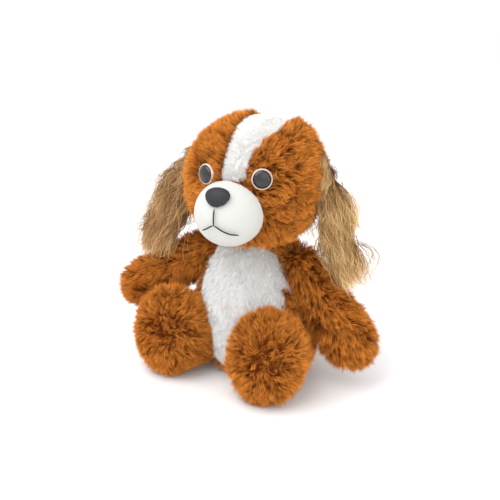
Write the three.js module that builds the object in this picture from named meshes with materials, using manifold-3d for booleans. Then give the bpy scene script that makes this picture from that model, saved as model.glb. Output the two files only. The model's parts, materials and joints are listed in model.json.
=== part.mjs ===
// A sitting plush dog, built the way it is sewn: fur fabric covers, fibre fillings, safety eyes,
// stitched features and a bag of pellets in the seat. Millimetres, +Z up. The dog faces -Y, its
// own left side is +X, and the origin is on the floor under the middle of the seat.
// Each fabric cover is as thick as its backing and the dense part of its pile.
import * as THREE from "three";
import { mergeVertices } from "three/addons/utils/BufferGeometryUtils.js";
import { ConvexGeometry } from "three/addons/geometries/ConvexGeometry.js";
import Module from "manifold-3d";

const wasm = await Module();
wasm.setup();

const deg = THREE.MathUtils.degToRad;
const vec = (x, y, z) => new THREE.Vector3(x, y, z);

// Driving dimensions. raises, swings and turns are the ends of a limb's free movement, in degrees.
const GAP = 0.35; // clearance between pieces that touch on the toy
const COVER = 4; // a fur fabric cover: backing and dense pile
const VELOUR = 2; // the smooth short fabric of the muzzle
const ROUND = 24; // sides of a large round shape
const neckRoom = 2.4; // clearance of the head over the neck ring, with its facets
const socketRoom = 1.6; // clearance of a sewn ring in its seat, with its facets

const torso = {
  width: 122,
  depth: 110,
  height: 134,
  seatRadius: 34,
  centreY: 4,
};
const belly = { halfWidth: 42, low: 10, high: 132 };
const pelletBag = { centre: vec(0, 18, 14), radii: vec(36, 26, 17) };
const closing = { low: 62, high: 106, halfWidth: 2, turns: 8, thread: 0.4, inset: 2 }; // seam in the back
const careTag = { x: -38, z: 32, thickness: 1, length: 14, height: 20 };
const neck = { pivot: vec(0, 0, 122), domeRadius: 29, ringWall: 3, collarRadius: 39, collarHeight: 9 };
const head = {
  radii: vec(59, 55, 58),
  centre: vec(6, -10, 183),
  squareness: 2.25,
  turn: 8, // degrees that the head looks to its left
  crownLean: 7, // how far the crown sits to the left of the face's middle
};
// The blaze bends to the left on its way up: each step is [height over the head's middle, middle, half width].
const blaze = [[-8, 0, 8], [26, 3, 9.5], [44, 10, 15], [57, 17, 21]];
const muzzle = { centre: vec(0, -54, -15.5), radii: vec(30, 29, 28.5) };
const eye = { radius: 7.2, ringRadius: 8.6, ringBase: 0.6, rim: 1.2, dome: 3, rise: 14, sink: 1.6, stem: 2, stemLength: 11 };
const eyeAzimuths = { left: 28, right: 24 }; // degrees off the middle of the face, as sewn by hand
const washer = { radius: 7.2, thickness: 1.4, fromTip: 1.6 };
const nose = { rise: 40, tilt: 32, radii: vec(11, 5, 8.5) };
// The mouth is a line down from the nose and a branch to each side, as degrees over the muzzle.
const mouth = {
  thread: 0.75,
  line: [21, 13, 5, -4],
  left: [[4.5, -6], [13, -12], [25, -17.5], [38, -19.5]],
  right: [[-4.5, -6], [-12, -11], [-22, -16]],
};
const shoulder = { x: 46, y: 0, z: 110, radius: 17, seamWall: 2 };
const arms = {
  left: { side: 1, hand: vec(92, 4, 48), raises: [0, 10], swings: [-8, 18] },
  right: { side: -1, hand: vec(-105, -23, 69), raises: [0, 6], swings: [-8, 14] },
};
const handRadii = vec(25, 21, 30);
const hip = { x: 36, y: -4, z: 30, radius: 25, seamWall: 2.4 };
const shoulderOpening = 9; // radius
const hipOpening = 12;
const legs = {
  left: { side: 1, foot: vec(44, -57, 41), toe: 10, turns: [-4, 16] },
  right: { side: -1, foot: vec(-60, -57, 41), toe: -3, turns: [0, 14] },
};
const foot = { radii: vec(33, 26, 40.5), lean: 12, soleDepth: 9 };
const ears = {
  left: { side: 1, root: vec(61, 3, 209), tip: vec(91, 11, 105), facing: 24 },
  right: { side: -1, root: vec(-51, -9, 205), tip: vec(-101, -20, 113), facing: -12 },
};
const ear = { rootHalfWidth: 9, halfWidth: 21, layer: 2.4 };
const socketWall = 1.5; // cover and filling left between two hollows
const limbRoom = 2.5; // hollow that a limb presses into the body, beyond its own shape
const tail = { root: vec(0, 54, 30), tip: vec(0, 84, 42), radius: 10, tipRadius: 8, wag: 25 };

const colours = {
  rust: "#a85f24",
  white: "#e8e6e2",
  tan: "#b59066",
  lining: "#8a5f38",
  nose: "#3c3f47",
  eye: "#2c2d2b",
  ring: "#e3d5cd",
  filling: "#f4f3ef",
  thread: "#7c4216",
  pellets: "#cfcdc6",
  washer: "#f2f2f2",
  label: "#f7f7f5",
};

const group = new THREE.Group();

function toSolid(geometry, matrix) {
  const plain = geometry.clone();
  plain.deleteAttribute("normal");
  plain.deleteAttribute("uv");
  if (matrix) plain.applyMatrix4(matrix);
  const merged = mergeVertices(plain, 1e-4);
  return new wasm.Manifold(
    new wasm.Mesh({
      numProp: 3,
      vertProperties: merged.attributes.position.array,
      triVerts: new Uint32Array(merged.index.array),
    }),
  );
}

function addPiece(name, solid, colour, roughness = 0.9) {
  const { vertProperties, triVerts } = solid.getMesh();
  const geometry = new THREE.BufferGeometry();
  geometry.setAttribute("position", new THREE.BufferAttribute(vertProperties, 3));
  geometry.setIndex(new THREE.BufferAttribute(triVerts, 1));
  geometry.computeVertexNormals();
  const material = new THREE.MeshStandardMaterial({ color: colour, roughness, metalness: 0 });
  const mesh = new THREE.Mesh(geometry, material);
  mesh.name = name;
  group.add(mesh);
}

// A rotation that carries +Z to the given direction.
const aimZ = (direction) => new THREE.Quaternion().setFromUnitVectors(vec(0, 0, 1), direction.clone().normalize());

const place = (position, quaternion = new THREE.Quaternion()) =>
  new THREE.Matrix4().compose(position, quaternion, vec(1, 1, 1));

// The biggest of the separate bodies of a solid, without the slivers that a cut leaves.
const biggest = (solid) => solid.decompose().reduce((most, body) => (body.volume() > most.volume() ? body : most));

const grown = (radii, by) => vec(radii.x + by, radii.y + by, radii.z + by);

function ellipsoid(centre, radii, quaternion, sides = ROUND) {
  const geometry = new THREE.SphereGeometry(1, sides, Math.round(sides * 0.65));
  const matrix = new THREE.Matrix4().compose(centre, quaternion ?? new THREE.Quaternion(), radii);
  return toSolid(geometry, matrix);
}

const ball = (centre, radius, sides = 16) => ellipsoid(centre, vec(radius, radius, radius), undefined, sides);

function block(low, high) {
  const size = high.clone().sub(low);
  return toSolid(new THREE.BoxGeometry(size.x, size.y, size.z), place(low.clone().add(high).multiplyScalar(0.5)));
}

// A solid of revolution about +Z; its profile holds [radius, height] pairs from bottom to top.
function turned(profile, matrix, sides = ROUND) {
  const points = profile.map(([radius, height]) => new THREE.Vector2(radius, height));
  const upright = new THREE.Matrix4().makeRotationX(Math.PI / 2);
  const geometry = new THREE.LatheGeometry(points, sides);
  return toSolid(geometry, matrix ? matrix.clone().multiply(upright) : upright);
}

const disc = (radius, low, high, matrix, sides = 16) =>
  turned([[0, low], [radius, low], [radius, high], [0, high]], matrix, sides);

// A zone of a spherical shell about +Z, between two angles measured down from +Z.
function sphericalRing(inner, outer, fromAngle, toAngle, matrix) {
  const steps = 2;
  const arc = (radius, start, end) =>
    Array.from({ length: steps + 1 }, (_, i) => {
      const angle = deg(start + ((end - start) * i) / steps);
      return [radius * Math.sin(angle), radius * Math.cos(angle)];
    });
  const profile = [...arc(outer, toAngle, fromAngle), ...arc(inner, fromAngle, toAngle)];
  return turned([...profile, profile[0]], matrix, 16);
}

// Points on several ellipsoids, each { centre, radii, quaternion }, grown by a distance.
function blobPoints(blobs, by, sides) {
  const points = [];
  for (const { centre, radii, quaternion } of blobs) {
    const geometry = new THREE.SphereGeometry(1, sides, Math.round(sides * 0.7));
    const matrix = new THREE.Matrix4().compose(centre, quaternion ?? new THREE.Quaternion(), grown(radii, by));
    geometry.applyMatrix4(matrix);
    const positions = geometry.getAttribute("position");
    for (let i = 0; i < positions.count; i += 1) points.push(new THREE.Vector3().fromBufferAttribute(positions, i));
  }
  return points;
}

// The convex skin round several ellipsoids.
const wrapped = (blobs, by, sides = 16) => toSolid(new ConvexGeometry(blobPoints(blobs, by, sides)));

// A round-ended thread along a curve.
function thread(points, radius, steps) {
  const path = new THREE.CatmullRomCurve3(points);
  const section = new THREE.Shape().absarc(0, 0, radius, 0, 2 * Math.PI);
  const options = { extrudePath: path, steps, curveSegments: 3, bevelEnabled: false };
  return toSolid(new THREE.ExtrudeGeometry(section, options));
}

// Torso ---------------------------------------------------------------------------------------

// The pear-shaped body, with a flat seat. Heights are parts of the full height.
function torsoSolid(by) {
  const half = torso.width / 2;
  const outline = [
    [torso.seatRadius, 0],
    [half * 0.85, 0.065],
    [half * 0.98, 0.19],
    [half, 0.34],
    [half * 0.95, 0.52],
    [half * 0.82, 0.7],
    [half * 0.63, 0.84],
    [half * 0.42, 0.94],
  ];
  const profile = outline.map(([radius, part]) => [radius + by, part * torso.height]);
  profile[0][1] -= by;
  const top = torso.height + by;
  const flatten = new THREE.Matrix4().makeScale(1, torso.depth / torso.width, 1);
  flatten.setPosition(0, torso.centreY, 0);
  return turned([[0, -by], ...profile, [half * 0.16, top - 0.5], [0, top]], flatten, 24);
}

// The oval of the belly panel, as a prism that runs out of the front of the body.
function bellyPrism(by) {
  const middle = (belly.low + belly.high) / 2;
  const outline = new THREE.Shape();
  outline.absellipse(0, middle, belly.halfWidth + by, (belly.high - belly.low) / 2 + by, 0, 2 * Math.PI);
  const options = { depth: 100, curveSegments: 14, bevelEnabled: false };
  return toSolid(new THREE.ExtrudeGeometry(outline, options), new THREE.Matrix4().makeRotationX(Math.PI / 2));
}

const shoulderCentre = (side) => vec(side * shoulder.x, shoulder.y, shoulder.z);
const hipCentre = (side) => vec(side * hip.x, hip.y, hip.z);

function armBlobs({ side, hand }) {
  const root = shoulderCentre(side);
  return [
    { centre: root, radii: vec(shoulder.radius, shoulder.radius, shoulder.radius) },
    { centre: hand, radii: handRadii, quaternion: aimZ(hand.clone().sub(root)) },
  ];
}

const footTurn = (toe) => new THREE.Quaternion().setFromEuler(new THREE.Euler(deg(-foot.lean), 0, deg(toe), "ZYX"));

function legBlobs({ side, foot: centre, toe }) {
  return [
    { centre: hipCentre(side), radii: vec(hip.radius, hip.radius, hip.radius) },
    { centre, radii: foot.radii, quaternion: footTurn(toe) },
  ];
}

// The room of a limb that turns between the given angles about an axis through its root.
function swept(blobs, by, axis, angles) {
  const pivot = blobs[0].centre;
  const points = blobPoints(blobs, by, 9);
  const reached = angles.flatMap((angle) =>
    points.map((point) => point.clone().sub(pivot).applyAxisAngle(axis, deg(angle)).add(pivot)),
  );
  return toSolid(new ConvexGeometry(reached));
}

// Everything that turns in the torso, as the room it needs.
function torsoSockets(by) {
  const rooms = [];
  for (const arm of Object.values(arms)) {
    rooms.push(ball(shoulderCentre(arm.side), shoulder.radius + shoulder.seamWall + socketRoom + by));
    rooms.push(swept(armBlobs(arm), limbRoom + by, vec(-1, 0, 0), arm.swings));
  }
  for (const leg of Object.values(legs)) {
    rooms.push(ball(hipCentre(leg.side), hip.radius + hip.seamWall + socketRoom + by));
    rooms.push(swept(legBlobs(leg), limbRoom + by, vec(0, 0, 1), leg.turns));
  }
  return rooms.reduce((all, one) => all.add(one));
}

function addTorso() {
  const dome = ball(neck.pivot, neck.domeRadius);
  const aboveNeck = block(vec(-90, -90, neck.pivot.z), vec(90, 90, 260));
  const body = torsoSolid(0).subtract(aboveNeck).add(dome).subtract(torsoSockets(0));
  const inner = torsoSolid(-COVER)
    .subtract(aboveNeck)
    .add(ball(neck.pivot, neck.domeRadius - COVER))
    .subtract(torsoSockets(socketWall));
  const cover = body.subtract(inner);
  const tailPatch = tailRoom();
  addPiece("belly_panel", biggest(cover.intersect(bellyPrism(0))), colours.white);
  const seamSlot = block(vec(-closing.halfWidth, 20, closing.low), vec(closing.halfWidth, 80, closing.high));
  const back = cover.subtract(bellyPrism(GAP)).subtract(seamSlot).subtract(tailPatch);
  addPiece("back_cover", biggest(back), colours.rust);

  const filling = torsoSolid(-COVER - GAP)
    .subtract(aboveNeck)
    .add(ball(neck.pivot, neck.domeRadius - COVER - GAP, 16))
    .subtract(torsoSockets(socketWall + GAP))
    .subtract(tailPatch);
  const bag = (by) => ellipsoid(pelletBag.centre, grown(pelletBag.radii, by), undefined, 14);
  addPiece("seat_pellet_bag", biggest(filling.intersect(bag(0))), colours.pellets);
  addPiece("body_filling", biggest(filling.subtract(bag(GAP))), colours.filling);

  // Ladder stitch that closes the filling hole in the middle of the back.
  addPiece("back_closing_stitch", closingStitch(), colours.thread);
  addPiece("care_label", careLabel(), colours.label);
}

// The zigzag of the closing seam, lying in its slot in the back cover.
function closingStitch() {
  const { low, high, turns } = closing;
  const margin = 4;
  const points = Array.from({ length: turns + 1 }, (_, i) => {
    const z = low + margin + (i * (high - low - 2 * margin)) / turns;
    return vec(i % 2 ? 1 : -1, backSurface(z) - closing.inset, z);
  });
  return thread(points, closing.thread, turns * 2);
}

// Y of the back of the body at a height, from the same outline as the body.
function backSurface(z) {
  const part = z / torso.height;
  const outline = [[0.34, 1], [0.52, 0.95], [0.7, 0.82], [0.84, 0.63]];
  const after = outline.findIndex(([height]) => height > part);
  const [lowPart, lowRadius] = outline[after - 1];
  const [highPart, highRadius] = outline[after];
  const mix = (part - lowPart) / (highPart - lowPart);
  return torso.centreY + (torso.depth / 2) * (lowRadius + (highRadius - lowRadius) * mix);
}

function careLabel() {
  const across = Math.sqrt(1 - (careTag.x / (torso.width / 2)) ** 2);
  const start = torso.centreY + (torso.depth / 2) * across + GAP;
  const low = vec(careTag.x, start, careTag.z);
  return block(low, low.clone().add(vec(careTag.thickness, careTag.length, careTag.height)));
}

// Neck and head -------------------------------------------------------------------------------

function addNeckRing() {
  const inner = neck.domeRadius + 2 * GAP;
  addPiece(
    "neck_gather",
    sphericalRing(inner, inner + neck.ringWall, 36, 56, place(neck.pivot)),
    colours.thread,
  );
}

const headTurn = new THREE.Quaternion().setFromAxisAngle(vec(0, 0, 1), deg(head.turn));
const headFrame = place(head.centre, headTurn);

// The head: an ellipsoid with slightly squared sides, whose crown leans to the left.
function headSolid(by, sides = 24) {
  const geometry = new THREE.SphereGeometry(1, sides, Math.round(sides * 0.65));
  const positions = geometry.getAttribute("position");
  const radii = grown(head.radii, by);
  const power = head.squareness;
  for (let i = 0; i < positions.count; i += 1) {
    const point = new THREE.Vector3().fromBufferAttribute(positions, i);
    const sum = ["x", "y", "z"].reduce((total, axis) => total + Math.abs(point[axis] / radii[axis]) ** power, 0);
    point.multiplyScalar(sum ** (-1 / power));
    const lean = head.crownLean * (Math.max(point.z, 0) / radii.z) ** 2;
    positions.setXYZ(i, point.x + lean, point.y, point.z);
  }
  return toSolid(geometry, headFrame);
}

// The flared white strip from the muzzle over the crown, seen from the front.
function blazePrism(by) {
  const outline = new THREE.Shape();
  const [lowest] = blaze;
  const [, crownMiddle, crownHalfWidth] = blaze[blaze.length - 1];
  const steps = [...blaze, [head.radii.z + 10, crownMiddle, crownHalfWidth]];
  outline.moveTo(lowest[1] - lowest[2] - by, lowest[0] - by);
  for (const [z, middle, half] of steps) outline.lineTo(middle + half + by, z);
  for (const [z, middle, half] of [...steps].reverse()) outline.lineTo(middle - half - by, z);
  const front = new THREE.Matrix4().makeRotationX(Math.PI / 2).setPosition(0, 90, 0);
  const options = { depth: 180, bevelEnabled: false };
  const strip = toSolid(new THREE.ExtrudeGeometry(outline, options), headFrame.clone().multiply(front));
  const lowBack = block(vec(-60, 0, -40), vec(60, 90, 12 - by));
  return strip.subtract(lowBack.transform(headFrame.elements));
}

const inHead = (point) => point.clone().applyMatrix4(headFrame);

const muzzleSolid = (by, sides = 20) => ellipsoid(inHead(muzzle.centre), grown(muzzle.radii, by), headTurn, sides);

// A point of the muzzle's surface in the dog's frame, raised by lift; azimuth turns to the left.
function onMuzzle(azimuth, rise, lift) {
  const across = deg(azimuth);
  const up = deg(rise);
  const way = vec(Math.sin(across) * Math.cos(up), -Math.cos(across) * Math.cos(up), Math.sin(up));
  return inHead(way.multiply(grown(muzzle.radii, lift)).add(muzzle.centre));
}

// Frame of an eye: its origin is just under the head's surface and +Z points out of the head.
function eyeFrame(side) {
  const across = deg(side > 0 ? eyeAzimuths.left : eyeAzimuths.right) * side;
  const radii = head.radii;
  const way = vec(Math.sin(across), -Math.cos(across), eye.rise / radii.z);
  const power = head.squareness;
  const sum = ["x", "y", "z"].reduce((total, axis) => total + Math.abs(way[axis] / radii[axis]) ** power, 0);
  const origin = inHead(way.clone().multiplyScalar(sum ** (-1 / power)));
  const outward = vec(Math.sin(across), -Math.cos(across) * 1.1, 0.12).applyQuaternion(headTurn);
  return place(origin.addScaledVector(outward.clone().normalize(), -eye.sink), aimZ(outward));
}

function addHead() {
  const muzzleRoom = muzzleSolid(GAP);
  const neckHollow = ball(neck.pivot, neck.domeRadius + neck.ringWall + neckRoom);
  const collar = disc(neck.collarRadius, -40, neck.collarHeight, place(neck.pivot), 24);
  const outer = headSolid(0).subtract(neckHollow).subtract(collar);
  const inner = headSolid(-COVER, 18).subtract(ball(neck.pivot, neck.domeRadius + neck.ringWall + neckRoom + socketWall));
  const filling = headSolid(-COVER - GAP, 18);
  let cover = outer.subtract(inner);
  let stuffing = filling.subtract(ball(neck.pivot, neck.domeRadius + neck.ringWall + neckRoom + GAP + socketWall));
  for (const side of [1, -1]) {
    const frame = eyeFrame(side);
    cover = cover.subtract(disc(eye.stem + GAP, -20, 10, frame, 12)).subtract(disc(eye.ringRadius + GAP, -1, 10, frame));
    stuffing = stuffing.subtract(disc(washer.radius + 2 * GAP, -eye.stemLength - 3, 10, frame));
  }
  const strip = blazePrism(0);
  const stripRoom = blazePrism(GAP);
  const sides = cover.subtract(stripRoom);
  const leftHalf = block(vec(GAP / 2, -90, -90), vec(90, 90, 90)).transform(headFrame.elements);
  const rightHalf = block(vec(-90, -90, -90), vec(-GAP / 2, 90, 90)).transform(headFrame.elements);
  addPiece("head_left_panel", biggest(sides.intersect(leftHalf)), colours.rust);
  addPiece("head_right_panel", biggest(sides.intersect(rightHalf)), colours.rust);
  addPiece("forehead_blaze", biggest(cover.intersect(strip).subtract(muzzleRoom)), colours.white);
  addPiece("head_filling", biggest(stuffing), colours.filling);

  const headRoom = headSolid(GAP);
  const tilted = new THREE.Quaternion().setFromAxisAngle(vec(1, 0, 0), deg(-nose.tilt));
  const nosePad = ellipsoid(onMuzzle(0, nose.rise, 0), nose.radii, headTurn.clone().multiply(tilted), 16);
  addPiece("muzzle_cover", muzzleSolid(0).subtract(muzzleSolid(-VELOUR)).subtract(headRoom), colours.white, 0.8);
  addPiece("muzzle_filling", muzzleSolid(-VELOUR - GAP).subtract(headRoom), colours.filling);
  addPiece("nose_patch", nosePad.subtract(muzzleSolid(GAP)), colours.nose, 0.6);

  const lift = mouth.thread + GAP;
  const line = mouth.line.map((rise) => onMuzzle(0, rise, lift));
  const branch = (steps) => steps.map(([azimuth, rise]) => onMuzzle(azimuth, rise, lift));
  addPiece("mouth_centre_stitch", thread(line, mouth.thread, 8), colours.nose, 0.6);
  addPiece("mouth_left_stitch", thread(branch(mouth.left), mouth.thread, 8), colours.nose, 0.6);
  addPiece("mouth_right_stitch", thread(branch(mouth.right), mouth.thread, 8), colours.nose, 0.6);
}

function addEyes() {
  for (const [name, side] of [["left", 1], ["right", -1]]) {
    const frame = eyeFrame(side);
    const { radius, ringRadius, ringBase, rim, dome, stem, stemLength } = eye;
    const cap = [0.15, 0.4, 0.65, 0.85].map((part) => {
      const angle = (part * Math.PI) / 2;
      return [radius * Math.cos(angle), rim + dome * Math.sin(angle)];
    });
    const under = 0.2; // underside of the button over the head
    const button = [[0, -stemLength], [stem, -stemLength], [stem, under], [radius, under], ...cap, [0, rim + dome]];
    addPiece(`${name}_eye`, turned(button, frame, 20), colours.eye, 0.15);
    const inner = radius + GAP;
    const outerWall = [[inner, -ringBase], [ringRadius, -ringBase], [ringRadius, 0.9]];
    const ring = [...outerWall, [inner + 0.4, 1.6], [inner, 1.6], [inner, -ringBase]];
    addPiece(`${name}_eye_ring`, turned(ring, frame, 20), colours.ring, 0.5);
    const low = -stemLength + washer.fromTip;
    const high = low + washer.thickness;
    const bore = stem + GAP;
    const plate = [[bore, low], [washer.radius, low], [washer.radius, high], [bore, high], [bore, low]];
    addPiece(`${name}_eye_washer`, turned(plate, frame, 16), colours.washer, 0.5);
  }
}

// Ears ----------------------------------------------------------------------------------------

function addEars() {
  for (const [name, { side, root, tip, facing }] of Object.entries(ears)) {
    const down = tip.clone().sub(root);
    const length = down.length();
    down.normalize();
    const out = vec(side * Math.sin(deg(Math.abs(facing))), -Math.cos(deg(facing)), 0);
    const normal = out.clone().addScaledVector(down, -out.dot(down)).normalize();
    const across = new THREE.Vector3().crossVectors(normal, down);
    const frame = new THREE.Matrix4().makeBasis(across, down.clone(), new THREE.Vector3().crossVectors(across, down));
    frame.setPosition(root);
    const flap = new THREE.Shape();
    flap.moveTo(-ear.rootHalfWidth, 0);
    flap.bezierCurveTo(-ear.halfWidth * 0.8, length * 0.2, -ear.halfWidth * 1.2, length * 0.55, -ear.halfWidth, length * 0.78);
    flap.bezierCurveTo(-ear.halfWidth * 0.8, length * 1.07, ear.halfWidth * 0.8, length * 1.07, ear.halfWidth, length * 0.78);
    flap.bezierCurveTo(ear.halfWidth * 1.2, length * 0.55, ear.halfWidth * 0.8, length * 0.2, ear.rootHalfWidth, 0);
    const layer = (from) => {
      const options = { depth: ear.layer, curveSegments: 7, bevelEnabled: false };
      const geometry = new THREE.ExtrudeGeometry(flap, options);
      geometry.translate(0, 0, from);
      return toSolid(geometry, frame).subtract(headSolid(1.2));
    };
    addPiece(`${name}_ear_front`, layer(-ear.layer - GAP / 2), colours.tan);
    addPiece(`${name}_ear_back`, layer(GAP / 2), colours.lining);
  }
}

// Arms ----------------------------------------------------------------------------------------

function addArms() {
  for (const [name, { side, hand, raises }] of Object.entries(arms)) {
    const root = shoulderCentre(side);
    const blobs = armBlobs({ side, hand });
    const mouthFrame = place(root, aimZ(vec(-side, 0, 0)));
    const opening = disc(shoulderOpening, 0, shoulder.radius + 2, mouthFrame, 12);
    const cover = wrapped(blobs, 0, 16).subtract(wrapped(blobs, -COVER, 12)).subtract(opening);
    addPiece(`${name}_arm_cover`, cover, colours.rust);
    addPiece(`${name}_arm_filling`, wrapped(blobs, -COVER - GAP, 12), colours.filling);
    const inner = shoulder.radius + 2 * GAP;
    const seam = sphericalRing(inner, inner + shoulder.seamWall, 20, 42, mouthFrame);
    const armRoom = swept(blobs, 2 * GAP, vec(0, -side, 0), raises);
    addPiece(`${name}_shoulder_seam`, biggest(seam.subtract(armRoom)), colours.thread);
  }
}

// Legs ----------------------------------------------------------------------------------------

function addLegs() {
  for (const [name, { side, foot: centre, toe }] of Object.entries(legs)) {
    const root = hipCentre(side);
    const turn = footTurn(toe);
    const blobs = legBlobs({ side, foot: centre, toe });
    const floor = block(vec(-150, -150, -20), vec(150, 150, 0));
    const innerFloor = block(vec(-150, -150, -20), vec(150, 150, COVER));
    const fillingFloor = block(vec(-150, -150, -20), vec(150, 150, COVER + GAP));
    const soleFrame = place(centre, turn);
    const beyond = (by) => block(vec(-60, -60, -70), vec(60, -foot.soleDepth + by, 70)).transform(soleFrame.elements);
    const mouthFrame = place(root, aimZ(vec(-side, 0, 0)));
    const opening = disc(hipOpening, 0, hip.radius + 2, mouthFrame, 12);
    const outer = wrapped(blobs, 0, 16).subtract(floor);
    const cover = outer.subtract(wrapped(blobs, -COVER, 12).subtract(innerFloor)).subtract(opening);
    addPiece(`${name}_leg_cover`, biggest(cover.subtract(beyond(GAP))), colours.rust);
    addPiece(`${name}_foot_sole`, biggest(cover.intersect(beyond(0))), colours.rust);
    addPiece(`${name}_leg_filling`, wrapped(blobs, -COVER - GAP, 12).subtract(fillingFloor), colours.filling);
    const inner = hip.radius + 2 * GAP;
    const seam = sphericalRing(inner, inner + hip.seamWall, 24, 46, mouthFrame);
    addPiece(`${name}_hip_seam`, biggest(seam.subtract(wrapped(blobs, GAP))), colours.thread);
  }
}

// Tail ----------------------------------------------------------------------------------------

function tailBlobs() {
  return [
    { centre: tail.root, radii: vec(tail.radius, tail.radius, tail.radius) },
    { centre: tail.tip, radii: vec(tail.tipRadius, tail.tipRadius, tail.tipRadius) },
  ];
}

const tailRoom = () => swept(tailBlobs(), limbRoom, vec(0, 0, 1), [-tail.wag, tail.wag]);

function addTail() {
  addPiece("tail_cover", wrapped(tailBlobs(), 0, 12), colours.rust);
}

addTorso();
addNeckRing();
addHead();
addEyes();
addEars();
addArms();
addLegs();
addTail();

export default group;
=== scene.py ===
"""Looks of the sitting plush dog: pile fabrics as real tufts, smooth muzzle, stitched face, eyes, studio.

Metres, in the frame of the CAD part: the dog faces -Y, +X is its own left, the floor is Z = 0.
"""

import json
import math

import bmesh
import bpy
import numpy as np
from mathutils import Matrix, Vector
from mathutils.bvhtree import BVHTree
from mathutils.kdtree import KDTree


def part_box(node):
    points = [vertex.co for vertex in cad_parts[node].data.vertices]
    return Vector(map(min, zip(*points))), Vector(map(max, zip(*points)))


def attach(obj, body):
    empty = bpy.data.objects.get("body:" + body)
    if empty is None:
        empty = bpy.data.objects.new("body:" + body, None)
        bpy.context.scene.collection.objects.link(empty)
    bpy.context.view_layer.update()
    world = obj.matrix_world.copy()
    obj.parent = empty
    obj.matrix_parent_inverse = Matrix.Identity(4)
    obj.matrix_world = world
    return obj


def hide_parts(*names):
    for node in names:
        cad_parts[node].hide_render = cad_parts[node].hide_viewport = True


MM = 0.001
SEED = 7

# Fabric ---------------------------------------------------------------------------------------
BACKING_DEPTH = 4 * MM  # the backing lies this far under the CAD surface, and the pile fills the rest
TAIL_BACKING_DEPTH = 2 * MM
MUZZLE_DEPTH = 0.6 * MM  # the muzzle's velour is short
REMESH = 4 * MM
SMALL_REMESH = 2.5 * MM  # for the muzzle and the tail
SKIN_SMOOTHING = 6
INFLATE_PRESSURE = 4
INFLATE_FRAMES = 20
INFLATE_CAP = 2.5 * MM  # guards against a runaway; this pressure moves the skins by less than 1 mm
CLOTH_TENSION = 12
CLOTH_BENDING = 0.4
SEAM_HALF_WIDTH = 0.7 * REMESH  # vertices this near to the seam's plane are held
LOWEST = 0.4 * MM  # no fibre goes below this height over the floor
SEAT_BARE = 5 * MM  # backing lower than this is the pressed flat seat
NAP_SIZE = 0.8 * MM  # grain of the muzzle's velour
NAP_DEPTH = 0.25 * MM
HIDDEN = 9 * MM  # tufts deeper than this inside another soft piece are left out

# A pile: length, tuft spacing, hairs in a tuft, hair width, lean from upright (0 is upright),
# disorder of the lean, swirl of the nap in broad patches, how far a tuft closes to a point (0 to 1),
# spacing of the locks that tufts gather into and how strongly they do, curl, and steps along a hair.
PLUSH = dict(length=9.5 * MM, spacing=1.8 * MM, hairs=9, width=0.46 * MM, lean=1.05, disorder=0.4,
             swirl=0.4, gather=0.62, lock_spacing=4.5 * MM, locks=0.25, curl=0.35, steps=2)
# the widest piece, kept under 200,000 triangles
BACK = dict(PLUSH, spacing=2.2 * MM, width=0.56 * MM)  # the widest piece, with sparser and wider blades
LIMB = dict(PLUSH, length=11 * MM, lean=0.95, disorder=0.35)
SOLE = dict(PLUSH, length=8.5 * MM, lean=0.95, disorder=0.4)
BELLY = dict(PLUSH, length=6 * MM, spacing=1.7 * MM, hairs=10, width=0.38 * MM, lean=1.7, disorder=0.3,
             swirl=0.25, gather=0.2, locks=0.1)
BLAZE = dict(PLUSH, length=3.2 * MM, spacing=1.1 * MM, hairs=7, width=0.3 * MM, lean=2.0, disorder=0.2,
             swirl=0.1, gather=0.05, locks=0.0, curl=0.1)
EAR_LONG = dict(length=36 * MM, spacing=2.5 * MM, hairs=20, width=0.44 * MM, lean=5.0, disorder=0.2,
                swirl=0.08, gather=0.78, lock_spacing=7 * MM, locks=0.45, curl=1.1, steps=6)
EAR_BACK = dict(EAR_LONG, length=20 * MM, hairs=12, disorder=0.15)
EAR_STRAY = dict(EAR_LONG, length=40 * MM, spacing=8 * MM, hairs=3, lean=4.0, disorder=0.35, gather=0.1,
                 locks=0.0)
PATCH = 16 * MM  # the nap changes its direction over about this distance
PATCH_SPREAD = (0.7, 1.6)  # shortest and longest wave, as shares of it
PATCH_WAVES = 14
PATCH_SCALE = 2.6  # brings the sum of the waves to about unit size
TUFT_LENGTHS = (0.8, 1.12)  # least and greatest share of the pile's own length, lean and width
HAIR_LENGTHS = (0.75, 1.1)
TUFT_LEANS = (0.7, 1.3)
HAIR_WIDTHS = (0.7, 1.2)
TUFT_SPREAD = 0.62  # roots of a tuft's hairs scatter by this share of the tuft spacing
TIP_SCATTER = 0.07  # tips, bow and scatter of the bow, as shares of the hair's length
BOW = 0.2
BOW_SCATTER = 0.05
CURL_SHARE = 0.35  # sideways bow for each unit of curl
BLADE_TWIST = 0.4  # how unevenly the blades face
BLADE_TAPER = 0.5  # share of its width that a blade has lost by its last step
WAVE_SHARE = 0.04  # size of the waves along a long hair for each unit of curl
WAVE_TURN = 9  # radians of the waves along it
WAVE_SCATTER = 0.5
WAVE_STEPS = 4  # hairs of fewer steps are too short to wave
SKIN_TONE_HEIGHT = 0.02  # the backing is coloured like the hair this far up, the dark root colour, as painted shade under the pile
LOCK_TONE = 0.25  # shares of the lock, of the tuft and of the hair in a hair's tone
TUFT_TONE = 0.3
HAIR_TONE = 0.45

# Where the pile goes
FALL = -0.35  # downward pull on the head's nap
PARTING = 1.2  # how strongly the nap leaves the blaze's middle, how wide, and how sharply it parts
PARTING_WIDTH = 22 * MM
PARTING_EDGE = 8 * MM
EYE_CLEAR = 1.03  # no tuft within this many eye radii
EYE_CLIP = 0.68  # share of its length that the pile has at the eye; it grows back over the reach
EYE_CLIP_REACH = 6 * MM
MUZZLE_CLIP = 0.55  # and the same along the muzzle
MUZZLE_CLIP_REACH = 8 * MM
MUZZLE_CLEAR = 0.5 * MM
SOLE_WHORL = 20 * MM  # within this of the middle of a sole the pile stands upright
SOLE_PULL = 0.2  # and outside it the pile also leans along the leg this much

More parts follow.
